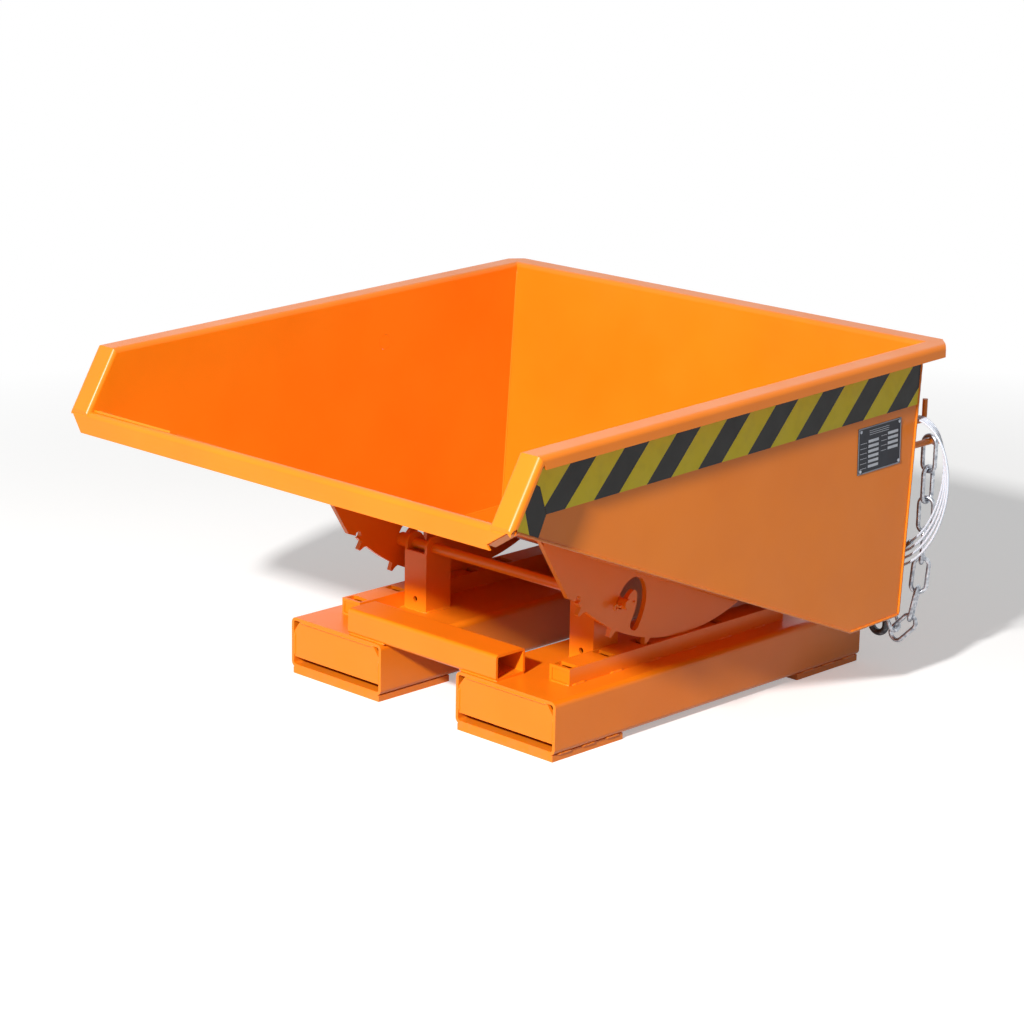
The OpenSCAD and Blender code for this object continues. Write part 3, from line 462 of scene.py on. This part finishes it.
def bead(points: list[Triple], size: float) -> bpy.types.Object:
    """Weld bead: a tube along the points that tapers at its ends and wanders a little, in long waves.

    Args:
        points: corners of its path.
        size: radius away from the ends.

    Returns:
        The bead.
    """
    step, wave, sides = 0.0013, 0.017, 6
    wander, slant = 0.12 * size, np.array([0.3, 0.3, 0.6])
    route = resampled(np.array(points, float), step)
    s = np.arange(len(route)) * step
    radius = size * np.clip(np.minimum(s, s[-1] - s) / (2 * size), 0.25, 1) ** 0.5
    aside = wander * np.sin(2 * math.pi * s / wave)
    return tube("bead", route + aside[:, None] * slant, radius, sides)


# ---------------------------------------------------------------- sub-assemblies


class Dresser:
    """Gives the CAD nodes and the new pieces their finishes."""

    def __init__(self) -> None:
        """Builds one material for each finish."""
        self.finish = {
            Slot.ORANGE: PowderCoat().material(),
            Slot.ZINC: Galvanised().material(),
            Slot.ROPE: RopeSheath().material(),
            Slot.BLACK_STEEL: PlainSteel(
                "forged_steel", linear("4b4d52"), linear("8a8c92"), 0.75).material(),
            Slot.RED_STEEL: PlainSteel(
                "red_lacquer", linear("8c2f1c"), linear("6a5048"), 0.2).material(),
            Slot.PLATE: PrintedFilm("dark_print", linear("171a24"), linear("242936")).material(),
        }

    def dress(self, piece: bpy.types.Object, slot: Slot, material: bpy.types.Material | None = None) -> None:
        """Gives a piece its only material: the slot's finish unless another material is given."""
        piece.data.materials.clear()
        piece.data.materials.append(material or self.finish[slot])

    def add(self, piece: bpy.types.Object, slot: Slot, body: Body,
            material: bpy.types.Material | None = None) -> bpy.types.Object:
        """Dresses a new piece, lets it ride on its body and reports it."""
        self.dress(piece, slot, material)
        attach(piece, body.value)
        LOG.info("made %s on %s", piece.name, body.value)
        return piece

    def dress_nodes(self) -> None:
        """Gives every CAD node whose slot in the record has a finish here that finish; the others are left as
        they are.
        """
        slots = {s["node"]: s["material_slot"] for s in frame["record"]["subparts"]}
        for name, node in frame["nodes"].items():
            slot = Slot(slots[name])
            if slot in self.finish:
                self.dress(node, slot)
                LOG.info("dressed %s as %s", name, slot.value)


@dataclass
class BinFrame:
    """The bin's own level frame: its axis is the roll axis, and the bin leans forward from it."""

    lean: float = math.radians(1.7)
    wall_out: float = 0.42
    lip: tuple[float, float] = (-0.603, -0.003)
    fold: tuple[float, float] = (0.154, -0.3335)
    heel: tuple[float, float] = (0.27, -0.3335)
    rear: tuple[float, float] = (0.309, 0.0835)
    axis: Vector = field(default_factory=lambda: centre_of("centre_plugs"))

    def place(self, x: float, y: float, z: float) -> Triple:
        """Place in the shared frame of a point at y and z from the roll axis."""
        c, s = math.cos(self.lean), math.sin(self.lean)
        return (x, self.axis.y + y * c - z * s, self.axis.z + y * s + z * c)


@dataclass
class HazardTape:
    """Striped tape along the side walls and its mirrored pieces at the front."""

    bin: BinFrame
    dresser: Dresser
    pitch: float = 0.1054
    main_start: float = -0.397
    main_rise: float = 1.0
    main_share: float = 0.475
    front_start: float = -0.5389
    front_rise: float = -0.235
    front_share: float = 0.355

    def build(self) -> None:
        """Dresses the four tape nodes."""
        place = (self.bin.axis, self.bin.lean, self.pitch)
        main = HazardFilm("hazard_film", *place, self.main_start, self.main_rise, self.main_share)
        front = HazardFilm(
            "hazard_film_front", *place, self.front_start, self.front_rise, self.front_share)
        for side in ("left", "right"):
            for node, film in ((f"hazard_tape_{side}", main), (f"hazard_tape_front_{side}", front)):
                self.dresser.dress(frame["nodes"][node], Slot.TAPE, film.material())


@dataclass
class RatingPlate:
    """Blank print on the rating plate: a grey border, pale fields and thin rules.

    Places on the plate are distances back and down from its front upper corner.
    """

    bin: BinFrame
    dresser: Dresser
    back: float = 0.159
    top: float = -0.023
    width: float = 0.101
    height: float = 0.07
    proud: float = 0.00015
    border: float = 0.0018
    margin: float = 0.005
    row: float = 0.0076
    bar: float = 0.0042
    bar_length: float = 0.024
    first_row: float = 0.0205
    second_row: float = 0.0165
    first_column: float = 0.024
    second_column: float = 0.07
    rows: tuple[int, int] = (6, 4)
    rule: float = 0.0006
    rule_drop: float = 0.003
    rule_gaps: tuple[float, float] = (0.004, 0.003)
    second_rules: float = 0.054
    heading: tuple[float, float] = (0.026, 0.072)
    heading_top: float = 0.0065
    heading_pitch: float = 0.003
    heading_rules: int = 3

    def patch(self, y0: float, y1: float, z0: float, z1: float) -> bpy.types.Object:
        """Thin box on the plate's face between two places on it."""
        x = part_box("rating_plate")[1].x
        corners = [
            self.bin.place(x + dx, self.back + y, self.top - z)
            for dx in (0, self.proud) for y in (y0, y1) for z in (z0, z1)
        ]
        made = mesh_object("patch", np.array(corners), BOX_FACES, smooth=False)
        made.data.flip_normals()
        return made

    def strips(self) -> list[bpy.types.Object]:
        """Four strips of the grey border."""
        w, h, b = self.width, self.height, self.border
        return [self.patch(0, w, 0, b), self.patch(0, w, h - b, h), self.patch(0, b, b, h - b),
                self.patch(w - b, w, b, h - b)]

    def bars(self, column: float, first: float, rows: int) -> list[bpy.types.Object]:
        """Column of pale fields, one for each row."""
        return [self.patch(column, column + self.bar_length, first + k * self.row,
                           first + k * self.row + self.bar) for k in range(rows)]

    def rules(self, start: float, end: float, first: float, rows: int,
              pitch: float) -> list[bpy.types.Object]:
        """Column of thin rules at that pitch."""
        return [self.patch(start, end, first + k * pitch, first + self.rule + k * pitch)
                for k in range(rows)]

    def build(self) -> None:
        """Makes the border, the fields and the rules."""
        grey = PrintedFilm("grey_border", linear("8f959f"), linear("7c828c")).material()
        self.dresser.add(joined("plate_border", self.strips()), Slot.PLATE, Body.HOPPER, grey)
        left, right = self.first_column, self.second_column
        print_marks = self.bars(left, self.first_row, self.rows[0])
        print_marks += self.bars(right, self.second_row, self.rows[1])
        print_marks += self.rules(self.margin, left - self.rule_gaps[0],
                                  self.first_row + self.rule_drop, self.rows[0], self.row)
        print_marks += self.rules(self.second_rules, right - self.rule_gaps[1],
                                  self.second_row + self.rule_drop, self.rows[1], self.row)
        print_marks += self.rules(*self.heading, self.heading_top, self.heading_rules, self.heading_pitch)
        pale = PrintedFilm("pale_fields", linear("c6cbd4"), linear("aab1bd")).material()
        self.dresser.add(joined("plate_fields", print_marks), Slot.PLATE, Body.HOPPER, pale)


@dataclass
class FrameWelds:
    """Weld beads of the base frame."""

    dresser: Dresser
    size: float = 0.0026
    small: float = 0.8
    stitch: float = 0.03
    rail_start: float = 0.006
    rail_pitch: float = 0.08
    tube_inset: float = 0.003
    pad_start: float = 0.01
    pad_pitch: float = 0.05
    plate_corner: float = 0.014
    plate_sink: float = 0.001
    plate_low: float = 0.002
    plate_high: float = 0.02

    def rail(self, side: str, top: float) -> list[bpy.types.Object]:
        """Stitches along both flanks of a rail, and a bead across its front."""
        low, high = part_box(f"rack_rail_{side}")
        beads = []
        for x in (low.x, high.x):
            y = low.y + self.rail_start
            while y + self.stitch < high.y:
                beads.append(bead([(x, y, top), (x, y + self.stitch, top)], self.size))
                y += self.rail_pitch
        return beads + [bead([(low.x, low.y, top), (high.x, low.y, top)], self.size)]

    def post(self, side: str, top: float) -> list[bpy.types.Object]:
        """Beads along a post's front and both flanks."""
        low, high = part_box(f"post_{side}")
        beads = [bead([(low.x, low.y, top), (high.x, low.y, top)], self.size)]
        return beads + [bead([(x, low.y, top), (x, high.y, top)], self.size) for x in (low.x, high.x)]

    def cross_tubes(self, side: str, top: float, inner: float) -> list[bpy.types.Object]:
        """Beads at both edges of a cross tube, from its end to the pocket's inner flank."""
        beads = []
        for node in ("front_cross_tube", "rear_cross_tube"):
            low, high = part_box(node)
            end = low.x if side == "left" else high.x
            for y in (low.y + self.tube_inset, high.y - self.tube_inset):
                beads.append(bead([(inner, y, top), (end, y, top)], self.size))
        return beads

    def pads(self, side: str) -> list[bpy.types.Object]:
        """Stitches along the outer edge of both foot pads of a side."""
        beads = []
        for node in ("front_foot_pads", "rear_foot_pads"):
            low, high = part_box(node)
            edge = low.x if side == "left" else high.x
            for y in np.arange(low.y + self.pad_start, high.y - self.stitch, self.pad_pitch):
                ends = [(edge, y, high.z), (edge, y + self.stitch, high.z)]
                beads.append(bead(ends, self.size * self.small))
        return beads

    def end_plate(self, side: str) -> list[bpy.types.Object]:
        """Beads along the top and both flanks of the plate in a pocket's front."""
        low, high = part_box(f"pocket_end_plate_{side}")
        top = high.z - self.plate_sink
        paths = [[(low.x + self.plate_corner, low.y, top), (high.x - self.plate_corner, low.y, top)]]
        for x in (low.x + self.plate_sink, high.x - self.plate_sink):
            paths.append([(x, low.y, low.z + self.plate_low), (x, low.y, high.z - self.plate_high)])
        return [bead(path, self.size * self.small) for path in paths]

    def build(self) -> None:
        """Lays beads round the rails, posts, cross tubes, pads and end plates."""
        beads = []
        for side in ("left", "right"):
            low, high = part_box(f"fork_pocket_{side}")
            inner = high.x if side == "left" else low.x
            beads += self.rail(side, high.z) + self.post(side, high.z)
            beads += self.cross_tubes(side, high.z, inner) + self.pads(side) + self.end_plate(side)
        self.dresser.add(joined("weld_beads_frame", beads), Slot.ORANGE, Body.BASE)


@dataclass
class BinWelds:
    """Weld beads along the bin's edges and under it."""

    bin: BinFrame
    dresser: Dresser
    size: float = 0.0022
    inside: float = 0.9
    rocker: float = 1.2
    sheet: float = 0.003
    fillet: float = 0.0033
    lip_start: float = 0.012
    lip_drop: float = 0.0055
    inner_start: float = 0.01
    inner_drop: float = 0.001
    inner_rear: tuple[float, float] = (0.0035, 0.07)
    outer_rear: tuple[float, float] = (0.0018, 0.02)
    sink: float = 0.0008
    rocker_front: float = 0.09
    rocker_rear: float = 0.005

    def outside(self, side: int) -> list[bpy.types.Object]:
        """Beads along a side wall's lower and rear outer edges."""
        b, x = self.bin, side * self.bin.wall_out
        start = (b.lip[0] + self.lip_start, b.lip[1] - self.lip_drop)
        return [bead([b.place(x, *start), b.place(x, *b.fold), b.place(x, *b.heel)], self.size),
                bead([b.place(x, *b.heel), b.place(x, b.rear[0] - self.outer_rear[0],
                                                   b.rear[1] - self.outer_rear[1])], self.size)]

    def corners(self, side: int) -> list[bpy.types.Object]:
        """Beads in the bin's inner corners along the floor and up the rear."""
        b, x = self.bin, side * (self.bin.wall_out - self.sheet)
        start = (b.lip[0] + self.lip_start + self.inner_start,
                 b.lip[1] - self.lip_drop - self.inner_drop + self.fillet)
        heel = b.place(x, b.heel[0] - self.sheet, b.heel[1] + self.fillet)
        size = self.size * self.inside
        return [bead([b.place(x, *start), b.place(x, b.fold[0], b.fold[1] + self.fillet), heel], size),
                bead([heel, b.place(x, b.rear[0] - self.inner_rear[0], self.inner_rear[1])], size)]

    def rockers(self, side: int) -> list[bpy.types.Object]:
        """Beads where both faces of a rocker meet the floor's underside."""
        low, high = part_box("rocker_left" if side < 0 else "rocker_right")
        y0, y1 = low.y + self.rocker_front, high.y - self.rocker_rear
        return [bead([self.under(x, y0), self.under(x, y1)], self.size * self.rocker)
                for x in (low.x, high.x)]

    def under(self, x: float, y: float) -> Triple:
        """Point on the floor's underside above the place y, by the straight line from lip to fold."""
        a = self.bin.place(x, *self.bin.lip)
        c = self.bin.place(x, *self.bin.fold)
        return (x, y, a[2] + (c[2] - a[2]) * (y - a[1]) / (c[1] - a[1]) - self.sink)

    def build(self) -> None:
        """Lays beads along the floor's edges, the rear corners and the rockers."""
        beads = []
        for side in (-1, 1):
            beads += self.outside(side) + self.corners(side) + self.rockers(side)
        self.dresser.add(joined("weld_beads_bin", beads), Slot.ORANGE, Body.HOPPER)


@dataclass
class PullRope:
    """Sheathed wire rope from the latch lever to four loops on the hook.

    A loop is x = middle + width x sin(turn) - lean x (1 - cos(turn)) / 2,
    z = top - drop x (1 - cos(turn)), and it moves one pitch along Y for each turn.
    The knots of the lead are millimetres across, toward the wall and up from its start at the lever.
    """

    dresser: Dresser
    diameter: float = 4 * MM
    loops: int = 4
    first_turn: float = -60
    last_turn: float = 150
    turn_step: float = 7.5
    pitch: float = 5.5 * MM
    half_width: float = 88 * MM
    half_drop: float = 122 * MM
    loop_lean: float = 40 * MM
    narrowing: tuple[float, float] = (7 * MM, 5 * MM)
    off_wall: float = 9 * MM
    hook_z: float = 420 * MM
    hook_bar: float = 8 * MM
    clearance: float = 0.4 * MM
    step: float = 3 * MM
    sides: int = 10
    strand_pitch: float = 20 * MM
    lead_back: float = 16 * MM
    lead_low: float = 288.2 * MM
    lead_knots: tuple[Triple, ...] = (
        (0, 0, 0), (2, 1, 12), (24, 10, 34), (90, 22, 34), (170, 28, 30), (240, 31, 42), (290, 32, 64))
    lead_steps: int = 8
    run_in: float = 8 * MM
    sleeve: float = 18 * MM
    eye_back: float = 14.2 * MM
    eye_z: float = 263.6 * MM
    eye_radius: float = 7 * MM

    def loop_point(self, angle: np.ndarray) -> np.ndarray:
        """Places on the loops at the turn angles, in degrees."""
        hook = centre_of("rope_hook").x
        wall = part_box("rope_hook")[0].y
        turn, n = np.radians(angle), angle / 360
        width = self.half_width - self.narrowing[0] * n
        drop = self.half_drop - self.narrowing[1] * n
        top = self.hook_z + (self.hook_bar + self.diameter) / 2 + self.clearance
        x = hook + width * np.sin(turn) - self.loop_lean * (1 - np.cos(turn)) / 2
        return np.stack([x, wall + self.off_wall + self.pitch * n, top - drop * (1 - np.cos(turn))], -1)

    def lead(self) -> np.ndarray:
        """Run from the lever's eye to the loops, as a smooth curve through the part's own points."""
        eye, low = centre_of("latch_pin").y + self.lead_back, self.lead_low
        start = self.loop_point(np.array([self.first_turn]))[0]
        after = self.loop_point(np.array([self.first_turn + 1.0]))[0]
        ahead = (after - start) / np.linalg.norm(after - start)
        knots = [(x * MM, eye - y * MM, low + z * MM) for x, y, z in self.lead_knots]
        knots += [tuple(start - ahead * self.run_in), tuple(start)]
        padded = np.array(knots[:1] + knots + knots[-1:])
        a, b, c, d = padded[:-3, None], padded[1:-2, None], padded[2:-1, None], padded[3:, None]
        t = np.linspace(0, 1, self.lead_steps, endpoint=False)[None, :, None]
        square, cube = 2 * a - 5 * b + 4 * c - d, 3 * b - a - 3 * c + d
        return ((2 * b + (c - a) * t + square * t**2 + cube * t**3) / 2).reshape(-1, 3)

    def build(self) -> None:
        """Makes the rope and its loop through the lever's eye, and hides the CAD rope nodes."""
        end = (self.loops - 1) * 360 + self.last_turn
        coil = self.loop_point(np.arange(self.first_turn, end + 0.1, self.turn_step))
        lead = self.lead()
        start = lead[:1] - np.array([[0, 0, self.sleeve]])
        route = resampled(np.vstack([start, lead, coil]), self.step)
        rope = tube("pull_rope", route, np.full(len(route), self.diameter / 2), self.sides)
        self.unwrap(rope)
        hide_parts("pull_rope_coil", "pull_rope_lead")
        self.dresser.add(rope, Slot.ROPE, Body.HOPPER)
        self.eye_loop()

    def unwrap(self, rope: bpy.types.Object) -> None:
        """UV map: across is the share of the way round, up is the length in pitches of the strands."""
        sides = self.sides
        layer = rope.data.uv_layers.new(name="along")
        index = np.zeros(len(rope.data.loops), int)
        rope.data.loops.foreach_get("vertex_index", index)
        row, side = index // sides, index % sides
        uv = np.stack([side / sides, row * self.step / self.strand_pitch], -1)
        faces = np.arange(len(index)) // 4
        wrap = np.zeros(faces.max() + 1, bool)
        np.logical_or.at(wrap, faces, side == sides - 1)
        zero = np.zeros_like(wrap)
        np.logical_or.at(zero, faces, side == 0)
        uv[(side == 0) & (wrap & zero)[faces], 0] = 1.0
        layer.data.foreach_set("uv", uv.astype(np.float32).ravel())

    def eye_loop(self) -> None:
        """Ring of rope through the lever's eye, under the sleeve."""
        turn = np.linspace(0, 2 * math.pi, 4 * self.sides, endpoint=False)
        across = np.linspace(0, 2 * math.pi, self.sides, endpoint=False)[:, None]
        out = np.stack([np.cos(turn), 0 * turn, np.sin(turn)], -1)
        middle = np.array([0, centre_of("latch_pin").y + self.eye_back, self.eye_z])
        ring = middle + self.eye_radius * out
        away = out[:, None] * np.cos(across) + np.array([0, 1, 0]) * np.sin(across)
        points = ring[:, None] + self.diameter / 2 * away
        made = surface("rope_eye_loop", points, (True, True))
        made.data.flip_normals()
        self.dresser.add(made, Slot.ROPE, Body.LEVER, Galvanised().material())


@dataclass
class Studio:
    """Camera at the photograph's place, one lamp, white air and a white floor.

    The camera was solved from straight edges in the photograph.
    """

    azimuth: float = math.radians(45.222)
    elevation: float = math.radians(15.523)
    roll: float = math.radians(0.753)
    distance: float = 4.727
    lens: float = 106.4
    sensor: float = 36.0
    shift: tuple[float, float] = (0.0568, 0.0131)
    clip_end: float = 200
    middle: Vector = field(default_factory=lambda: Vector((0, 0.233, 0.25)))
    aside: tuple[float, float] = (-0.2698, -0.0393)
    sun: Vector = field(default_factory=lambda: Vector((0.27, -0.83, 0.48)))
    lamp_distance: float = 6
    lamp_size: float = 0.3
    lamp_power: float = 460
    lamp_colour: Colour = (1.0, 0.99, 0.97)
    air: float = 0.2
    floor_reach: float = 40.0
    floor_grey: tuple[float, float] = (0.35, 0.85)
    floor_glow: float = 0.36
    floor_fade: tuple[float, float] = (1.3, 2.3)

    def camera(self) -> None:
        """Places the camera from its angles, and rolls it."""
        az, el = self.azimuth, self.elevation
        look = Vector((-math.sin(az) * math.cos(el), math.cos(az) * math.cos(el), -math.sin(el)))
        right = Vector((math.cos(az), math.sin(az), 0))
        up = right.cross(look)
        c, s = math.cos(self.roll), math.sin(self.roll)
        right, up = right * c + up * s, up * c - right * s
        place = self.middle + right * self.aside[0] + up * self.aside[1] - look * self.distance
        data = bpy.data.cameras.new("photo_camera")
        data.lens, data.sensor_width, data.clip_end = self.lens, self.sensor, self.clip_end
        data.shift_x, data.shift_y = self.shift
        made = bpy.data.objects.new("photo_camera", data)
        made.matrix_world = Matrix((
            (right.x, up.x, -look.x, place.x), (right.y, up.y, -look.y, place.y),
            (right.z, up.z, -look.z, place.z), (0, 0, 0, 1),
        ))
        bpy.context.scene.collection.objects.link(made)
        bpy.context.scene.camera = made

    def key_lamp(self) -> None:
        """Square area lamp where the photograph's sun is, aimed at the hopper's middle."""
        data = bpy.data.lights.new("key", "AREA")
        data.size, data.energy, data.color = self.lamp_size, self.lamp_power, self.lamp_colour
        made = bpy.data.objects.new("key", data)
        made.location = self.middle + self.sun * self.lamp_distance
        made.rotation_euler = (self.middle - made.location).to_track_quat("-Z", "Y").to_euler()
        bpy.context.scene.collection.objects.link(made)

    def world(self) -> None:
        """Even surroundings: white to the camera and in reflections, dimmer as a light."""
        world = bpy.data.worlds.new("studio_air")
        world.use_nodes = True
        nodes, links = world.node_tree.nodes, world.node_tree.links
        level = nodes.new("ShaderNodeMapRange")
        links.new(eye_rays(world.node_tree), level.inputs[0])
        level.inputs[3].default_value, level.inputs[4].default_value = self.air, 1.0
        links.new(level.outputs[0], nodes["Background"].inputs["Strength"])
        nodes["Background"].inputs["Color"].default_value = (*WHITE, 1)
        bpy.context.scene.world = world

    def floor(self) -> None:
        """White floor that keeps the shadow, fades into the air and sends less light up than it shows."""
        size = self.floor_reach
        corners = np.array([(-size, -size, 0), (size, -size, 0), (size, size, 0), (-size, size, 0)])
        made = mesh_object("floor", corners, [[0, 1, 2, 3]], smooth=False)
        g = Graph("studio_floor")
        seen = eye_rays(g.tree)
        as_light, as_seen = ((grey, grey, grey) for grey in self.floor_grey)
        g.finish(g.mix(seen, as_light, as_seen), 0.9, Specular_IOR_Level=0.1)
        glow = g.maths("MULTIPLY", seen, self.floor_glow)
        glow = g.node("Emission", {"Color": (*WHITE, 1), "Strength": glow})
        both = g.node("AddShader", {0: g.shader.outputs[0], 1: glow.outputs[0]})
        below = (self.middle.x, self.middle.y, 0)
        offset = g.node("VectorMath", {0: g.coords, 1: below}, operation="DISTANCE")
        far = g.maths("MULTIPLY", g.ramp(offset.outputs["Value"], *self.floor_fade, 0, 1), seen)
        white = g.node("Emission", {"Color": (*WHITE, 1), "Strength": 1.0})
        mixed = g.node("MixShader", {0: far, 1: both.outputs[0], 2: white.outputs[0]})
        g.tree.links.new(mixed.outputs[0], g.tree.nodes["Material Output"].inputs["Surface"])
        made.data.materials.append(g.material)

    def build(self) -> None:
        """Sets the camera, the lamp, the air and the floor."""
        self.camera()
        self.key_lamp()
        self.world()
        self.floor()
        bpy.context.scene.view_settings.view_transform = "Standard"


def main() -> None:
    """Builds the studio and every sub-assembly."""
    logging.basicConfig(level=logging.INFO, format="%(message)s")
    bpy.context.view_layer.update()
    Studio().build()
    dresser = Dresser()
    PullRope(dresser).build()
    dresser.dress_nodes()
    bin_frame = BinFrame()
    HazardTape(bin_frame, dresser).build()
    RatingPlate(bin_frame, dresser).build()
    FrameWelds(dresser).build()
    BinWelds(bin_frame, dresser).build()
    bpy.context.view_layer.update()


if __name__ == "__main__":
    main()
